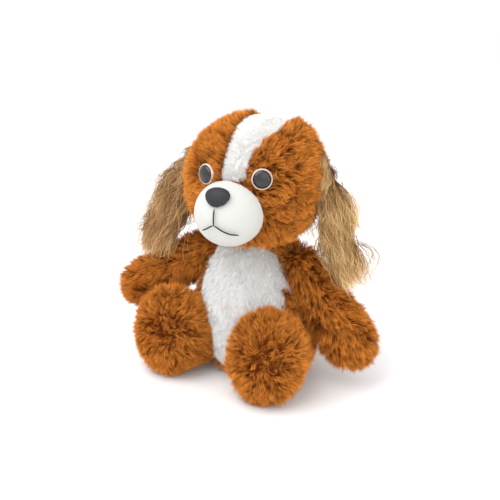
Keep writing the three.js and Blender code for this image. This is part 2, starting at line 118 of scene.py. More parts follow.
# Ears
EAR_FRINGE = 12 * MM  # hair ends this far past the ear's tip
EAR_ROOT_HAIR = 0.25  # share of its length that the hair has at the root
EAR_ROOT_REACH = 0.35  # share of the ear over which it grows to its full length
EAR_SPLAY = 3  # sideways lean of the hair for each metre off the ear's middle
EAR_GATHER = 26  # and how much of it turns inward by the tip
FLAP_WIDTH = {"left": 0.4, "right": 0.66}  # share of the ear's outline that is fabric, and the rest is hair
FLAP_SHIFT = {"left": 1.5 * MM, "right": 4 * MM}  # towards the dog's left
FLAP_LENGTH = 0.88  # share of the ear's length that is fabric
FLAP_TOP_WIDTH = 0.3  # share of the flap's width at its top
FLAP_WIDEST_FROM = 0.65  # share of the flap's length at which it is at its full width
FLAP_ROUND_FROM = 0.5  # and at which its tip starts to round in
FLAP_CURL = 3 * MM
FLAP_WAVE = 2 * MM
FLAP_WAVE_TURN = 7  # radians of the wave along the flap

# Small pieces
NOSE_TAPER = 0.42  # how much narrower the nose is at its foot
NOSE_FULL_AT = 0.6  # share of its height at which it keeps its width
SATIN_ROW = 1.7 * MM
SATIN_DEPTH = 0.16 * MM
SATIN_WANDER = 4 * MM  # height over which a row of stitches wanders
THREAD_RADIUS = 0.62 * MM
THREAD_ENDS = 0.55  # share of its radius that a strand has where it sinks in
LABEL_OPEN = 0.8 * MM  # half of the gap between the two layers of the folded label
LABEL_STEPS = 24

# Photograph's view and light ------------------------------------------------------------------
VIEW_AZIMUTH = 31
VIEW_ELEVATION = 20
VIEW_DISTANCE = 0.640
VIEW_LENS = 50.4
VIEW_TARGET = Vector((0, 0, 0.118))
VIEW_OFFSET = (-4.6 * MM, -4.6 * MM)  # aims right and up of the target by these
AIR_LIGHT = 1.1
KEY_LIGHT = dict(place=(-0.35, -0.8, 1.5), size=1.3, power=17)
FILL_LIGHT = dict(place=(1.1, -0.7, 0.8), size=1.2, power=4)
LIGHT_TARGET = (0, 0, 0.1)

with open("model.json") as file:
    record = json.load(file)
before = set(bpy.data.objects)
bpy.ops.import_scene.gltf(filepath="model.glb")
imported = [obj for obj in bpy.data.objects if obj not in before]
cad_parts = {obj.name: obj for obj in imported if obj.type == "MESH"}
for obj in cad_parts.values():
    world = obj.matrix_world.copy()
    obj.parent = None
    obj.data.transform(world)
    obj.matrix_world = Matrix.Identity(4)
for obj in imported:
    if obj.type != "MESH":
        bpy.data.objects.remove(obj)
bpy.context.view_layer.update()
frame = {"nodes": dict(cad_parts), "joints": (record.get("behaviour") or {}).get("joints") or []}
rng = np.random.default_rng(SEED)
nodes = frame["nodes"]
joints = {joint["name"]: joint for joint in frame["joints"]}


# Mesh helpers ---------------------------------------------------------------------------------
def corner_points(*names):
    """Vertices of CAD nodes, in the shared frame."""
    return np.vstack([positions(nodes[name].data) for name in names])


def centre_of(name):
    low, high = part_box(name)
    return (Vector(low) + Vector(high)) / 2


def new_object(name, data):
    obj = bpy.data.objects.new(name, data)
    bpy.context.scene.collection.objects.link(obj)
    return obj


def hull_object(name, points):
    bm = bmesh.new()
    for point in points:
        bm.verts.new(point)
    result = bmesh.ops.convex_hull(bm, input=bm.verts)
    loose = [g for g in result["geom_interior"] if isinstance(g, bmesh.types.BMVert)]
    loose += [g for g in result["geom_unused"] if isinstance(g, bmesh.types.BMVert)]
    bmesh.ops.delete(bm, geom=list(set(loose)), context="VERTS")
    bmesh.ops.recalc_face_normals(bm, faces=bm.faces)
    mesh = bpy.data.meshes.new(name)
    bm.to_mesh(mesh)
    bm.free()
    return new_object(name, mesh)


def planes_of(obj):
    """Face planes of a convex object: unit normals and offsets."""
    normals = np.array([p.normal for p in obj.data.polygons], float)
    centres = np.array([p.center for p in obj.data.polygons], float)
    return normals, (normals * centres).sum(1)


def height_over(planes, points):
    """Signed distance of points over a convex solid, negative inside."""
    normals, offsets = planes
    return (points @ normals.T - offsets).max(1)


def baked(obj):
    """Replaces an object's mesh by its evaluated one and drops its modifiers."""
    graph = bpy.context.evaluated_depsgraph_get()
    mesh = bpy.data.meshes.new_from_object(obj.evaluated_get(graph))
    obj.modifiers.clear()
    obj.data = mesh
    return obj


def positions(mesh):
    flat = np.empty(len(mesh.vertices) * 3, np.float32)
    mesh.vertices.foreach_get("co", flat)
    return flat.reshape(-1, 3).astype(float)


def set_positions(mesh, points):
    mesh.vertices.foreach_set("co", points.astype(np.float32).ravel())
    mesh.update()


def vertex_normals(mesh):
    flat = np.empty(len(mesh.vertices) * 3, np.float32)
    mesh.vertex_normals.foreach_get("vector", flat)
    return flat.reshape(-1, 3).astype(float)


def unit(vectors):
    return vectors / np.maximum(np.linalg.norm(vectors, axis=-1, keepdims=True), 1e-12)


def at_most_one(vectors):
    """Long vectors brought down to length 1, and short ones kept."""
    return vectors / np.maximum(np.linalg.norm(vectors, axis=-1, keepdims=True), 1)


# Stuffed skins --------------------------------------------------------------------------------
def inflate(obj, seam_normal):
    """Cloth under light pressure from the filling, held along a seam in one plane through the middle.

    The shape it starts from is already full, so this only relaxes it: most vertices hardly move.
    """
    rest = positions(obj.data)
    middle = rest.mean(0)
    across = (rest - middle) @ np.array(seam_normal, float)
    seam = np.where(np.abs(across) < SEAM_HALF_WIDTH)[0]
    group = obj.vertex_groups.new(name="seam")
    group.add([int(i) for i in seam], 1.0, "REPLACE")
    cloth = obj.modifiers.new("cloth", "CLOTH")
    cloth.settings.vertex_group_mass = group.name
    cloth.settings.use_pressure = True
    cloth.settings.uniform_pressure_force = INFLATE_PRESSURE
    cloth.settings.tension_stiffness = CLOTH_TENSION
    cloth.settings.bending_stiffness = CLOTH_BENDING
    cloth.settings.effector_weights.gravity = 0
    cloth.point_cache.frame_start = 1
    cloth.point_cache.frame_end = INFLATE_FRAMES
    for step in range(1, INFLATE_FRAMES + 1):
        bpy.context.scene.frame_set(step)
    baked(obj)
    moved = positions(obj.data) - rest
    far = np.linalg.norm(moved, axis=1, keepdims=True)
    set_positions(obj.data, rest + moved * np.minimum(1, INFLATE_CAP / np.maximum(far, 1e-9)))
    bpy.context.scene.frame_set(1)
    obj.vertex_groups.clear()


def stuffed_skin(name, members, seam_normal, depth=BACKING_DEPTH, voxel=REMESH):
    """The backing of a stuffed piece: the smoothed convex outline of its CAD pieces, moved in."""
    obj = hull_object(name, corner_points(*members))
    remesh = obj.modifiers.new("even", "REMESH")
    remesh.mode = "VOXEL"
    remesh.voxel_size = voxel
    smooth = obj.modifiers.new("soft", "SMOOTH")
    smooth.iterations = SKIN_SMOOTHING
    baked(obj)
    set_positions(obj.data, positions(obj.data) - vertex_normals(obj.data) * depth)
    inflate(obj, seam_normal)
    finer = obj.modifiers.new("finer", "SUBSURF")
    finer.levels = finer.render_levels = 1
    baked(obj)
    return obj


# Pile -----------------------------------------------------------------------------------------
def scattered(mesh, spacing, keep):
    """Random points on a mesh, about one to each square of the spacing, with their normals."""
    mesh.calc_loop_triangles()
    count = len(mesh.loop_triangles)
    flat = np.empty(count * 3, np.int32)
    mesh.loop_triangles.foreach_get("vertices", flat)
    triangles = flat.reshape(-1, 3)
    points, normals = positions(mesh), vertex_normals(mesh)
    a, b, c = (points[triangles[:, k]] for k in range(3))
    areas = np.linalg.norm(np.cross(b - a, c - a), axis=1) / 2
    total = int(areas.sum() / spacing**2)
    chosen = rng.choice(count, total, p=areas / areas.sum())
    first, second = rng.random((2, total, 1))
    flip = first + second > 1
    first, second = np.where(flip, 1 - first, first), np.where(flip, 1 - second, second)
    weights = np.stack([1 - first - second, first, second])
    corners = triangles[chosen]
    where = sum(weights[k] * points[corners[:, k]] for k in range(3))
    facing = unit(sum(weights[k] * normals[corners[:, k]] for k in range(3)))
    kept = keep(where)
    return where[kept], facing[kept]


def patchy(points, wavelength):
    """A smooth random vector field: waves of about one wavelength in random directions."""
    field = np.zeros_like(points)
    for _ in range(PATCH_WAVES):
        wave = unit(rng.normal(size=3)) * 2 * math.pi / (wavelength * rng.uniform(*PATCH_SPREAD))
        field += np.outer(np.sin(points @ wave + rng.uniform(0, 2 * math.pi)), rng.normal(size=3))
    return field / PATCH_SCALE


def nearest_lock(points, spacing, spread):
    """A few of the points stand for locks of the given spacing; the nearest one to each point."""
    wanted = max(1, min(len(points), int(len(points) * (spread / spacing) ** 2)))
    heads = rng.choice(len(points), wanted, replace=False)
    tree = KDTree(wanted)
    for index, head in enumerate(heads):
        tree.insert(points[head], index)
    tree.balance()
    return heads[[tree.find(p)[1] for p in points]]


def tufts(where, facing, flow, pile, scale=None):
    """Blades of hair: vertices, polygons and texture places, as arrays.

    flow is the combing direction at each tuft; scale shortens a tuft.
    """
    count, hairs, steps = len(where), pile["hairs"], pile["steps"]
    if scale is None:
        scale = np.ones(count)
    length = pile["length"] * scale * rng.uniform(*TUFT_LENGTHS, count)
    comb = at_most_one(flow - facing * (flow * facing).sum(1, keepdims=True))
    comb += patchy(where, PATCH) * pile["swirl"] + rng.normal(0, pile["disorder"], (count, 3))
    comb -= facing * (comb * facing).sum(1, keepdims=True)
    lean = unit(facing + at_most_one(comb) * pile["lean"] * rng.uniform(*TUFT_LEANS, (count, 1)))
    lock = nearest_lock(where, pile["lock_spacing"], pile["spacing"])
    end = where + lean * length[:, None]
    end += (end[lock] - end) * pile["locks"]
    lean = unit(end - where)
    side = unit(np.cross(facing, lean + 1e-6))
    along = np.cross(side, facing)
    offsets = rng.normal(0, pile["spacing"] * TUFT_SPREAD, (count, hairs, 2))
    offset = offsets[..., :1] * side[:, None] + offsets[..., 1:] * along[:, None]
    root = where[:, None] + offset - facing[:, None] * pile["width"]
    hair_length = (length[:, None] * rng.uniform(*HAIR_LENGTHS, (count, hairs)))[..., None]
    tip = where[:, None] + offset * (1 - pile["gather"]) + lean[:, None] * hair_length
    tip += rng.normal(0, TIP_SCATTER, (count, hairs, 3)) * hair_length
    bow = facing[:, None] * hair_length * BOW
    bow = bow + rng.normal(0, BOW_SCATTER, (count, hairs, 3)) * hair_length
    curl = side[:, None] * rng.normal(0, pile["curl"] * CURL_SHARE, (count, 1, 1)) * hair_length
    middle = (root + tip) / 2 + bow + curl

    root, middle, tip = (v.reshape(-1, 3) for v in (root, middle, tip))
    total = len(root)
    normal = np.repeat(facing, hairs, axis=0)
    direction = unit(tip - root)
    flat_side = unit(np.cross(direction, normal + rng.normal(0, BLADE_TWIST, (total, 3))))
    width = pile["width"] * rng.uniform(*HAIR_WIDTHS, (total, 1))
    shade = rng.random(count)
    tone = np.repeat(shade[lock] * LOCK_TONE + shade * TUFT_TONE, hairs) + rng.random(total) * HAIR_TONE
    wave = pile["curl"] * WAVE_SHARE * np.repeat(length, hairs)[:, None]
    phase = np.repeat(rng.uniform(0, 2 * math.pi, (count, 1)), hairs, axis=0)
    phase = phase + rng.normal(0, WAVE_SCATTER, (total, 1))
    return blades((root, middle, tip), flat_side, width, tone, (wave, phase), steps)


def blades(curve, flat_side, width, tone, waves, steps):
    """Flat tapering blades along hairs, each a quadratic curve through its root, middle and tip."""
    root, middle, tip = curve
    wave, phase = waves
    total = len(root)
    rows, places = [], []
    for part in np.linspace(0, 1, steps + 1):
        centre = root * (1 - part) ** 2 + middle * 2 * part * (1 - part) + tip * part**2
        if steps >= WAVE_STEPS:
            centre = centre + flat_side * wave * part * np.sin(phase + part * WAVE_TURN)
        centre[:, 2] = np.maximum(centre[:, 2], LOWEST)
        place = np.stack([tone, np.full(total, part)], 1)
        if part < 1:
            half = flat_side * width * (1 - BLADE_TAPER * part) / 2
            rows += [centre - half, centre + half]
            places += [place, place]
        else:
            rows.append(centre)
            places.append(place)
    per_hair = len(rows)
    vertices = np.stack(rows, 1).reshape(-1, 3)
    spots = np.stack(places, 1).reshape(-1, 2)
    base = (np.arange(total) * per_hair)[:, None]
    quads = np.concatenate([base + [2 * k, 2 * k + 1, 2 * k + 3, 2 * k + 2] for k in range(steps - 1)])
    ends = base + [2 * steps - 2, 2 * steps - 1, 2 * steps]
    return vertices, quads, ends, spots


def joined(*hairs):
    """Several lots of hair blades as one."""
    starts = np.cumsum([0] + [len(vertices) for vertices, _, _, _ in hairs])
    return (
        np.vstack([hair[0] for hair in hairs]),
        np.vstack([hair[1] + start for hair, start in zip(hairs, starts)]),
        np.vstack([hair[2] + start for hair, start in zip(hairs, starts)]),
        np.vstack([hair[3] for hair in hairs]),
    )


def pile_mesh(name, skin_faces, hair):
    """One mesh of a panel's backing, as (points, faces), and its hair blades."""
    points, faces = skin_faces
    vertices, quads, ends, spots = hair
    offset = len(points)
    all_points = np.vstack([points, vertices]) if offset else vertices
    sizes = np.array([len(f) for f in faces] + [4] * len(quads) + [3] * len(ends), np.int32)
    skin_loops = np.array([i for f in faces for i in f], np.int32)
    loops = [skin_loops, (quads + offset).ravel(), (ends + offset).ravel()]
    loops = np.concatenate(loops).astype(np.int32)
    mesh = bpy.data.meshes.new(name)
    mesh.vertices.add(len(all_points))
    mesh.vertices.foreach_set("co", all_points.astype(np.float32).ravel())
    mesh.loops.add(len(loops))
    mesh.loops.foreach_set("vertex_index", loops)
    mesh.polygons.add(len(sizes))
    mesh.polygons.foreach_set("loop_start", np.concatenate([[0], np.cumsum(sizes)[:-1]]).astype(np.int32))
    mesh.polygons.foreach_set("loop_total", sizes)
    mesh.update(calc_edges=True)
    # The backing takes the dark root colour of the hair: painted shade under the pile.
    skin_spots = np.stack([rng.random(offset), np.full(offset, SKIN_TONE_HEIGHT)], 1)
    spot_of_vertex = np.vstack([skin_spots, spots]) if offset else spots
    layer = mesh.uv_layers.new(name="OFBake")
    layer.data.foreach_set("uv", spot_of_vertex[loops].astype(np.float32).ravel())
    mesh.polygons.foreach_set("use_smooth", np.ones(len(sizes), bool))
    mesh.validate()
    return mesh


def part_of_skin(skin, chosen):
    """Points and faces of the chosen faces of a skin."""
    mesh = skin.data
    faces = [tuple(p.vertices) for p, use in zip(mesh.polygons, chosen) if use]
    used = sorted({i for f in faces for i in f})
    index = {old: new for new, old in enumerate(used)}
    points = positions(mesh)[used] if used else np.zeros((0, 3))
    return points, [tuple(index[i] for i in f) for f in faces]


def nearest_member(members, points):
    """Which CAD node each point lies nearest to, as an index into members."""
    distances = []
    for name in members:
        mesh = nodes[name].data
        faces = [tuple(p.vertices) for p in mesh.polygons]
        tree = BVHTree.FromPolygons([v.co for v in mesh.vertices], faces)
        distances.append([tree.find_nearest(Vector(p))[3] for p in points])
    return np.argmin(np.array(distances), axis=0)


def furry_pieces(skin, panels, flow, keep, body, shorten=None, inside=()):
    """Covers a stuffed skin with pile: one piece to each CAD panel.

    panels maps a node to its pile and material; inside names the hidden pieces the skin stands for.
    """
    members = list(panels)
    centres = np.array([p.center for p in skin.data.polygons], float)
    face_member = nearest_member(members, centres)
    for index, (node, (pile, material)) in enumerate(panels.items()):
        def own(points, index=index):
            return (nearest_member(members, points) == index) & keep(points)

        where, facing = scattered(skin.data, pile["spacing"], own)
        scale = shorten(where) if shorten else None
        hair = tufts(where, facing, flow(where), pile, scale)
        points, faces = part_of_skin(skin, face_member == index)
        mesh = pile_mesh(node + "_fur", (points, faces), hair)
        mesh.materials.append(material)
        piece = new_object(node + "_fur", mesh)
        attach(piece, body)
        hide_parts(node, *(inside if index == 0 else ()))
    bpy.data.objects.remove(skin)


# Materials ------------------------------------------------------------------------------------
def shader(name):
    material = bpy.data.materials.new(name)
    material.use_nodes = True
    return material, material.node_tree, material.node_tree.nodes["Principled BSDF"]


def fur_material(name, root, tip, dark, light, sheen, sheen_tint):
    """Colour runs from root to tip along a hair, darker at the root and lighter at the tip, partly the
    fibre's own colour and partly painted shade deep in the pile and painted highlight on the tips, and each
    tuft has its own tone between dark and light.
    """
    material, tree, principled = shader(name)
    place = tree.nodes.new("ShaderNodeUVMap")
    place.uv_map = "OFBake"
    split = tree.nodes.new("ShaderNodeSeparateXYZ")
    tree.links.new(place.outputs["UV"], split.inputs[0])
    # Dark root and light tip: partly the fibre's own colour, partly painted shade deep in the pile and
    # painted highlight on the tips.
    along = tree.nodes.new("ShaderNodeValToRGB")
    along.color_ramp.elements[0].color = (*root, 1)
    along.color_ramp.elements[0].position = 0.05
    along.color_ramp.elements[1].color = (*tip, 1)
    along.color_ramp.elements[1].position = 0.85
    tree.links.new(split.outputs["Y"], along.inputs["Fac"])
    tone = tree.nodes.new("ShaderNodeValToRGB")
    tone.color_ramp.elements[0].color = (*dark, 1)
    tone.color_ramp.elements[0].position = 0.22
    tone.color_ramp.elements[1].color = (*light, 1)
    tone.color_ramp.elements[1].position = 0.78
    tree.links.new(split.outputs["X"], tone.inputs["Fac"])
    mix = tree.nodes.new("ShaderNodeMix")
    mix.data_type = "RGBA"
    mix.blend_type = "MULTIPLY"
    mix.inputs["Factor"].default_value = 1
    tree.links.new(along.outputs["Color"], mix.inputs["A"])
    tree.links.new(tone.outputs["Color"], mix.inputs["B"])
    tree.links.new(mix.outputs["Result"], principled.inputs["Base Color"])
    principled.inputs["Roughness"].default_value = 0.62
    principled.inputs["Specular IOR Level"].default_value = 0.06
    principled.inputs["Sheen Weight"].default_value = sheen
    principled.inputs["Sheen Roughness"].default_value = 0.45
    principled.inputs["Sheen Tint"].default_value = (*sheen_tint, 1)
    return material


def nap(material, size, depth):
    """The fine irregular surface of short velour, as a bump."""
    tree = material.node_tree
    place = tree.nodes.new("ShaderNodeTexCoord")
    grain = tree.nodes.new("ShaderNodeTexNoise")
    grain.inputs["Scale"].default_value = 1 / size
    grain.inputs["Detail"].default_value = 3
    bump = tree.nodes.new("ShaderNodeBump")
    bump.inputs["Strength"].default_value = 0.5
    bump.inputs["Distance"].default_value = depth
    tree.links.new(place.outputs["Object"], grain.inputs["Vector"])
    tree.links.new(grain.outputs["Fac"], bump.inputs["Height"])
    tree.links.new(bump.outputs["Normal"], tree.nodes["Principled BSDF"].inputs["Normal"])


def finish_mesh(mesh, material):
    """One material and smooth shading for a whole mesh."""
    mesh.materials.clear()
    mesh.materials.append(material)
    mesh.polygons.foreach_set("use_smooth", np.ones(len(mesh.polygons), bool))


def plain_material(name, colour, roughness, coat=0.0, sheen=0.0):
    material, _, principled = shader(name)
    principled.inputs["Base Color"].default_value = (*colour, 1)
    principled.inputs["Roughness"].default_value = roughness
    principled.inputs["Coat Weight"].default_value = coat
    principled.inputs["Coat Roughness"].default_value = 0.05
    principled.inputs["Sheen Weight"].default_value = sheen
    return material


NEUTRAL = (1.0, 1.0, 1.0)
# Each pile's dark root colour is partly painted shade in the pile, and its light tip colour partly a
# painted highlight.
RUST = fur_material(
    "rust pile", root=(0.25, 0.056, 0.007), tip=(1.0, 0.385, 0.064),
    dark=(0.46, 0.40, 0.34), light=NEUTRAL, sheen=0.04, sheen_tint=(1.0, 0.6, 0.25),
)
WHITE = fur_material(
    "white pile", root=(0.86, 0.85, 0.83), tip=(0.97, 0.97, 0.96),
    dark=(0.94, 0.94, 0.94), light=NEUTRAL, sheen=0.1, sheen_tint=NEUTRAL,
)
# A dimmer copy of the white pile for the blaze: painted shade.
BLAZE_WHITE_IN_PAINTED_SHADE = fur_material(
    "white blaze pile in painted shade", root=(0.80, 0.79, 0.77), tip=(0.90, 0.90, 0.885),
    dark=(0.95, 0.95, 0.95), light=NEUTRAL, sheen=0.05, sheen_tint=NEUTRAL,
)
TAN = fur_material(
    "long tan pile", root=(0.24, 0.095, 0.025), tip=(1.0, 0.70, 0.34),
    dark=(0.30, 0.21, 0.12), light=NEUTRAL, sheen=0.08, sheen_tint=(1.0, 0.9, 0.75),
)
# A darker copy of the tan pile for the right ear: painted shade.
TAN_IN_PAINTED_SHADE = fur_material(
    "long tan pile in painted shade", root=(0.17, 0.066, 0.018), tip=(0.74, 0.46, 0.215),
    dark=(0.28, 0.20, 0.13), light=NEUTRAL, sheen=0.06, sheen_tint=(1.0, 0.9, 0.75),
)
BROWN = fur_material(
    "brown ear backing pile", root=(0.12, 0.05, 0.018), tip=(0.46, 0.25, 0.11),
    dark=(0.5, 0.5, 0.5), light=NEUTRAL, sheen=0.1, sheen_tint=(1.0, 0.85, 0.7),
)
VELOUR = plain_material("white velour", (0.57, 0.57, 0.545), 0.9, sheen=0.08)
SATIN = plain_material("dark satin stitching", (0.010, 0.011, 0.016), 0.6)
EYE = plain_material("glossy eye", (0.010, 0.010, 0.009), 0.28, coat=0.25)
RING = plain_material("pale eye ring", (0.66, 0.56, 0.52), 0.5)
BACKING = plain_material("ear fabric", (0.20, 0.10, 0.045), 0.9)
THREAD = plain_material("seam thread", (0.20, 0.055, 0.012), 0.8)
LABEL = plain_material("satin ribbon", (0.85, 0.85, 0.83), 0.4)
EAR_COLOUR = {"left": TAN, "right": TAN_IN_PAINTED_SHADE}  # the right ear has a darker copy of the same tan pile: painted shade
nap(VELOUR, NAP_SIZE, NAP_DEPTH)


# Solids that the pile keeps clear of ----------------------------------------------------------
def solid_planes(*members):
    obj = hull_object("scratch", corner_points(*members))
    planes = planes_of(obj)
    bpy.data.objects.remove(obj)
    return planes


HEAD_NODES = ("head_left_panel", "head_right_panel", "forehead_blaze")
TORSO_NODES = ("back_cover", "belly_panel")
SIDES = ("left", "right")
muzzle_solid = solid_planes("muzzle_cover", "muzzle_filling")
head_solid = solid_planes(*HEAD_NODES)
torso_solid = solid_planes(*TORSO_NODES)
limb_solids = [solid_planes(f"{s}_arm_cover") for s in SIDES]
limb_solids += [solid_planes(f"{s}_leg_cover", f"{s}_foot_sole") for s in SIDES]
eye_centres = [np.array(centre_of(f"{s}_eye_ring")) for s in SIDES]
eye_radius = max(Vector(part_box("left_eye_ring")[1]) - Vector(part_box("left_eye_ring")[0])) / 2
muzzle_centre = np.array(centre_of("muzzle_filling"))
head_middle = corner_points("forehead_blaze").mean(0)
head_across = unit(eye_centres[0] - eye_centres[1])


def outside(points, *solids):
    clear = np.ones(len(points), bool)
    for planes in solids:
        clear &= height_over(planes, points) > -HIDDEN
    return clear


# Head -----------------------------------------------------------------------------------------
def head_flow(where):
    """Nap runs back from the muzzle, off the blaze to either side, and falls down the cheeks."""
    away = unit(where - muzzle_centre)
    from_middle = (where - head_middle) @ head_across
    near_middle = np.exp(-((from_middle / PARTING_WIDTH) ** 2))
    parting = near_middle * np.tanh(from_middle / PARTING_EDGE) * PARTING
    return away + np.array([0, 0, FALL]) + parting[:, None] * head_across


def head_keep(points):
    clear = height_over(muzzle_solid, points) > MUZZLE_CLEAR
    for centre in eye_centres:
        clear &= np.linalg.norm(points - centre, axis=1) > eye_radius * EYE_CLEAR
    return clear & outside(points, torso_solid)


def head_shorten(points):
    """Pile is clipped round the eyes and along the muzzle."""
    scale = np.ones(len(points))
    for centre in eye_centres:
        distance = np.linalg.norm(points - centre, axis=1)
        clear = np.clip((distance - eye_radius) / EYE_CLIP_REACH, 0, 1)
        scale = np.minimum(scale, EYE_CLIP + (1 - EYE_CLIP) * clear)
    clear = np.clip(height_over(muzzle_solid, points) / MUZZLE_CLIP_REACH, 0, 1)
    return np.minimum(scale, MUZZLE_CLIP + (1 - MUZZLE_CLIP) * clear)


def build_head():
    skin = stuffed_skin("head skin", HEAD_NODES, (1, 0, 0))
    panels = {
        "head_left_panel": (PLUSH, RUST),
        "head_right_panel": (PLUSH, RUST),
        "forehead_blaze": (BLAZE, BLAZE_WHITE_IN_PAINTED_SHADE),
    }
    furry_pieces(skin, panels, head_flow, head_keep, "head", head_shorten, inside=["head_filling"])


def build_muzzle():
    """The muzzle is smooth short velour: an even padded shape with no pile."""
    stands_for = ("muzzle_cover", "muzzle_filling")
    skin = stuffed_skin("muzzle_velour", stands_for, (1, 0, 0), depth=MUZZLE_DEPTH, voxel=SMALL_REMESH)
    finish_mesh(skin.data, VELOUR)
    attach(skin, "head")
    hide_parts(*stands_for)


# Body and limbs -------------------------------------------------------------------------------
def falling(where):
    return np.tile([0.0, 0.0, -1.0], (len(where), 1))


def build_torso():
    skin = stuffed_skin("torso skin", TORSO_NODES, (1, 0, 0))

    def keep(points):
        return (points[:, 2] > SEAT_BARE) & outside(points, head_solid, *limb_solids)

    panels = {"back_cover": (BACK, RUST), "belly_panel": (BELLY, WHITE)}
    furry_pieces(skin, panels, falling, keep, "torso", inside=["body_filling", "seat_pellet_bag"])


def build_arm(side):
    node = f"{side}_arm_cover"
    pivot = np.array(joints[f"{side}_arm_raise"]["pos_m"], float)
    skin = stuffed_skin(node + " skin", (node,), (0, 1, 0))
    hand = positions(skin.data)
    tip = hand[np.argmax(np.linalg.norm(hand - pivot, axis=1))]
    down = unit(tip - pivot)

    def flow(where):
        return np.tile(down, (len(where), 1))

    def keep(points):
        return outside(points, torso_solid)

    furry_pieces(skin, {node: (LIMB, RUST)}, flow, keep, f"{side}_arm", inside=[f"{side}_arm_filling"])


def build_leg(side):
    cover, sole = f"{side}_leg_cover", f"{side}_foot_sole"
    pivot = np.array(joints[f"{side}_leg_turn"]["pos_m"], float)
    skin = stuffed_skin(cover + " skin", (cover, sole), (0, 0, 1))
    heart = np.array(centre_of(sole))

    def flow(where):
        """Along the leg to the foot, and outward from the middle of the sole."""
        radial = (where - heart) / SOLE_WHORL
        return radial + unit(heart - pivot) * SOLE_PULL

    def keep(points):
        return outside(points, torso_solid)

    furry_pieces(skin, {cover: (LIMB, RUST), sole: (SOLE, RUST)}, flow, keep, f"{side}_leg",
                 inside=[f"{side}_leg_filling"])


def build_tail():
    skin = stuffed_skin("tail skin", ("tail_cover",), (1, 0, 0), TAIL_BACKING_DEPTH, SMALL_REMESH)
    back = np.array([0.0, 1.0, 0.2])
    furry_pieces(skin, {"tail_cover": (PLUSH, RUST)}, lambda p: np.tile(back, (len(p), 1)),
                 lambda p: outside(p, torso_solid), "tail")


# Ears -----------------------------------------------------------------------------------------
def ear_axes(side):
    """Root, unit vectors down the ear, across it and out of its front, and its length."""
    front = corner_points(f"{side}_ear_front")
    root = np.array(joints[f"{side}_ear_lift"]["pos_m"], float)
    tip = front[np.argmax(np.linalg.norm(front - root, axis=1))]
    down = unit(tip - root)
    middle = front.mean(0)
    _, _, axes = np.linalg.svd(front - middle, full_matrices=False)
    normal = axes[2] * (-1 if axes[2][1] > 0 else 1)
    across = unit(np.cross(normal, down))
    return root, down, across, normal, float((tip - root) @ down)


def build_ear(side):
    body = f"{side}_ear"
    root, down, across, normal, length = ear_axes(side)
    for layer, pile, material in (("front", EAR_LONG, EAR_COLOUR[side]), ("back", EAR_BACK, BROWN)):
        node = f"{side}_ear_{layer}"
        outward = normal if layer == "front" else -normal
        rim = corner_points(node)
        fabric, wide, tall = ear_flap(node + "_fabric", rim, root, down, across, outward, side)
        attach(fabric, body)
        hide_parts(node)
        hair = joined(*(
            ear_hair(fabric.data, lot, root, down, across, outward, length)
            for lot in ((pile, EAR_STRAY) if layer == "front" else (pile,))
        ))
        mesh = pile_mesh(node + "_hair", (np.zeros((0, 3)), []), hair)
        mesh.materials.append(material)
        piece = new_object(node + "_hair", mesh)
        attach(piece, body)


def ear_hair(mesh, pile, root, down, across, outward, length):
    """Hair that lies down along a flap, short at the root, and gathers in towards the tip."""
    where, facing = scattered(mesh, pile["spacing"], lambda points: np.ones(len(points), bool))
    facing = np.where((facing @ outward)[:, None] < 0, -facing, facing)
    sideways = (where - root) @ across
    level = (where - root) @ down
    splay = EAR_SPLAY - EAR_GATHER * np.clip(level / length, 0, 1) ** 2
    flow = down * 2 + (sideways * splay)[:, None] * across * 2
    scale = np.clip((length + EAR_FRINGE - level) / pile["length"], 0.4, 1)
    scale *= EAR_ROOT_HAIR + (1 - EAR_ROOT_HAIR) * np.clip(level / (length * EAR_ROOT_REACH), 0, 1)
    return tufts(where, facing, flow, pile, scale)


def ear_flap(name, rim, root, down, across, outward, side):
    """A teardrop of fabric inside the CAD ear's outline, curled and waved towards its tip."""
    rows, columns = 30, 10
    levels_all, sides_all = (rim - root) @ down, (rim - root) @ across
    depth = np.median((rim - root) @ outward)
    top, bottom = levels_all.min(), levels_all.max()
    half = np.abs(sides_all).max() * FLAP_WIDTH[side]
    points, faces = [], []
    tall = (bottom - top) * FLAP_LENGTH
    for row in range(rows):
        part = row / (rows - 1)
        widening = math.sin(min(part / FLAP_WIDEST_FROM, 1) * math.pi / 2)
        widening = FLAP_TOP_WIDTH + (1 - FLAP_TOP_WIDTH) * widening
        past = max((part - FLAP_ROUND_FROM) / (1 - FLAP_ROUND_FROM), 0)
        rounding = math.sqrt(max(1 - past**2, 0.03))
        wide = half * widening * rounding
        for column in range(columns + 1):
            share = column / columns * 2 - 1
            curl = -(share**2) * FLAP_CURL * part
            wave = FLAP_WAVE * part * math.sin(part * FLAP_WAVE_TURN + share)
            spot = root + down * (top + tall * part) + across * (wide * share + FLAP_SHIFT[side] * part)
            points.append(spot + outward * (depth + curl + wave))
    for row in range(rows - 1):
        for column in range(columns):
            a = row * (columns + 1) + column
            faces.append((a, a + 1, a + columns + 2, a + columns + 1))
    mesh = bpy.data.meshes.new(name)
    mesh.from_pydata([tuple(p) for p in points], [], faces)
    mesh.update()
    if Vector(mesh.polygons[0].normal) @ Vector(outward) < 0:
        mesh.flip_normals()
    finish_mesh(mesh, BACKING)
    return new_object(name, mesh), float(half * 2), float(tall)


# Studio ---------------------------------------------------------------------------------------
def area_light(name, place, size, power):
    light = bpy.data.lights.new(name, "AREA")
    light.shape = "SQUARE"
    light.size = size
    light.energy = power
    obj = new_object(name, light)
    obj.location = place
    obj.rotation_mode = "QUATERNION"
    obj.rotation_quaternion = (Vector(LIGHT_TARGET) - Vector(place)).to_track_quat("-Z", "Y")


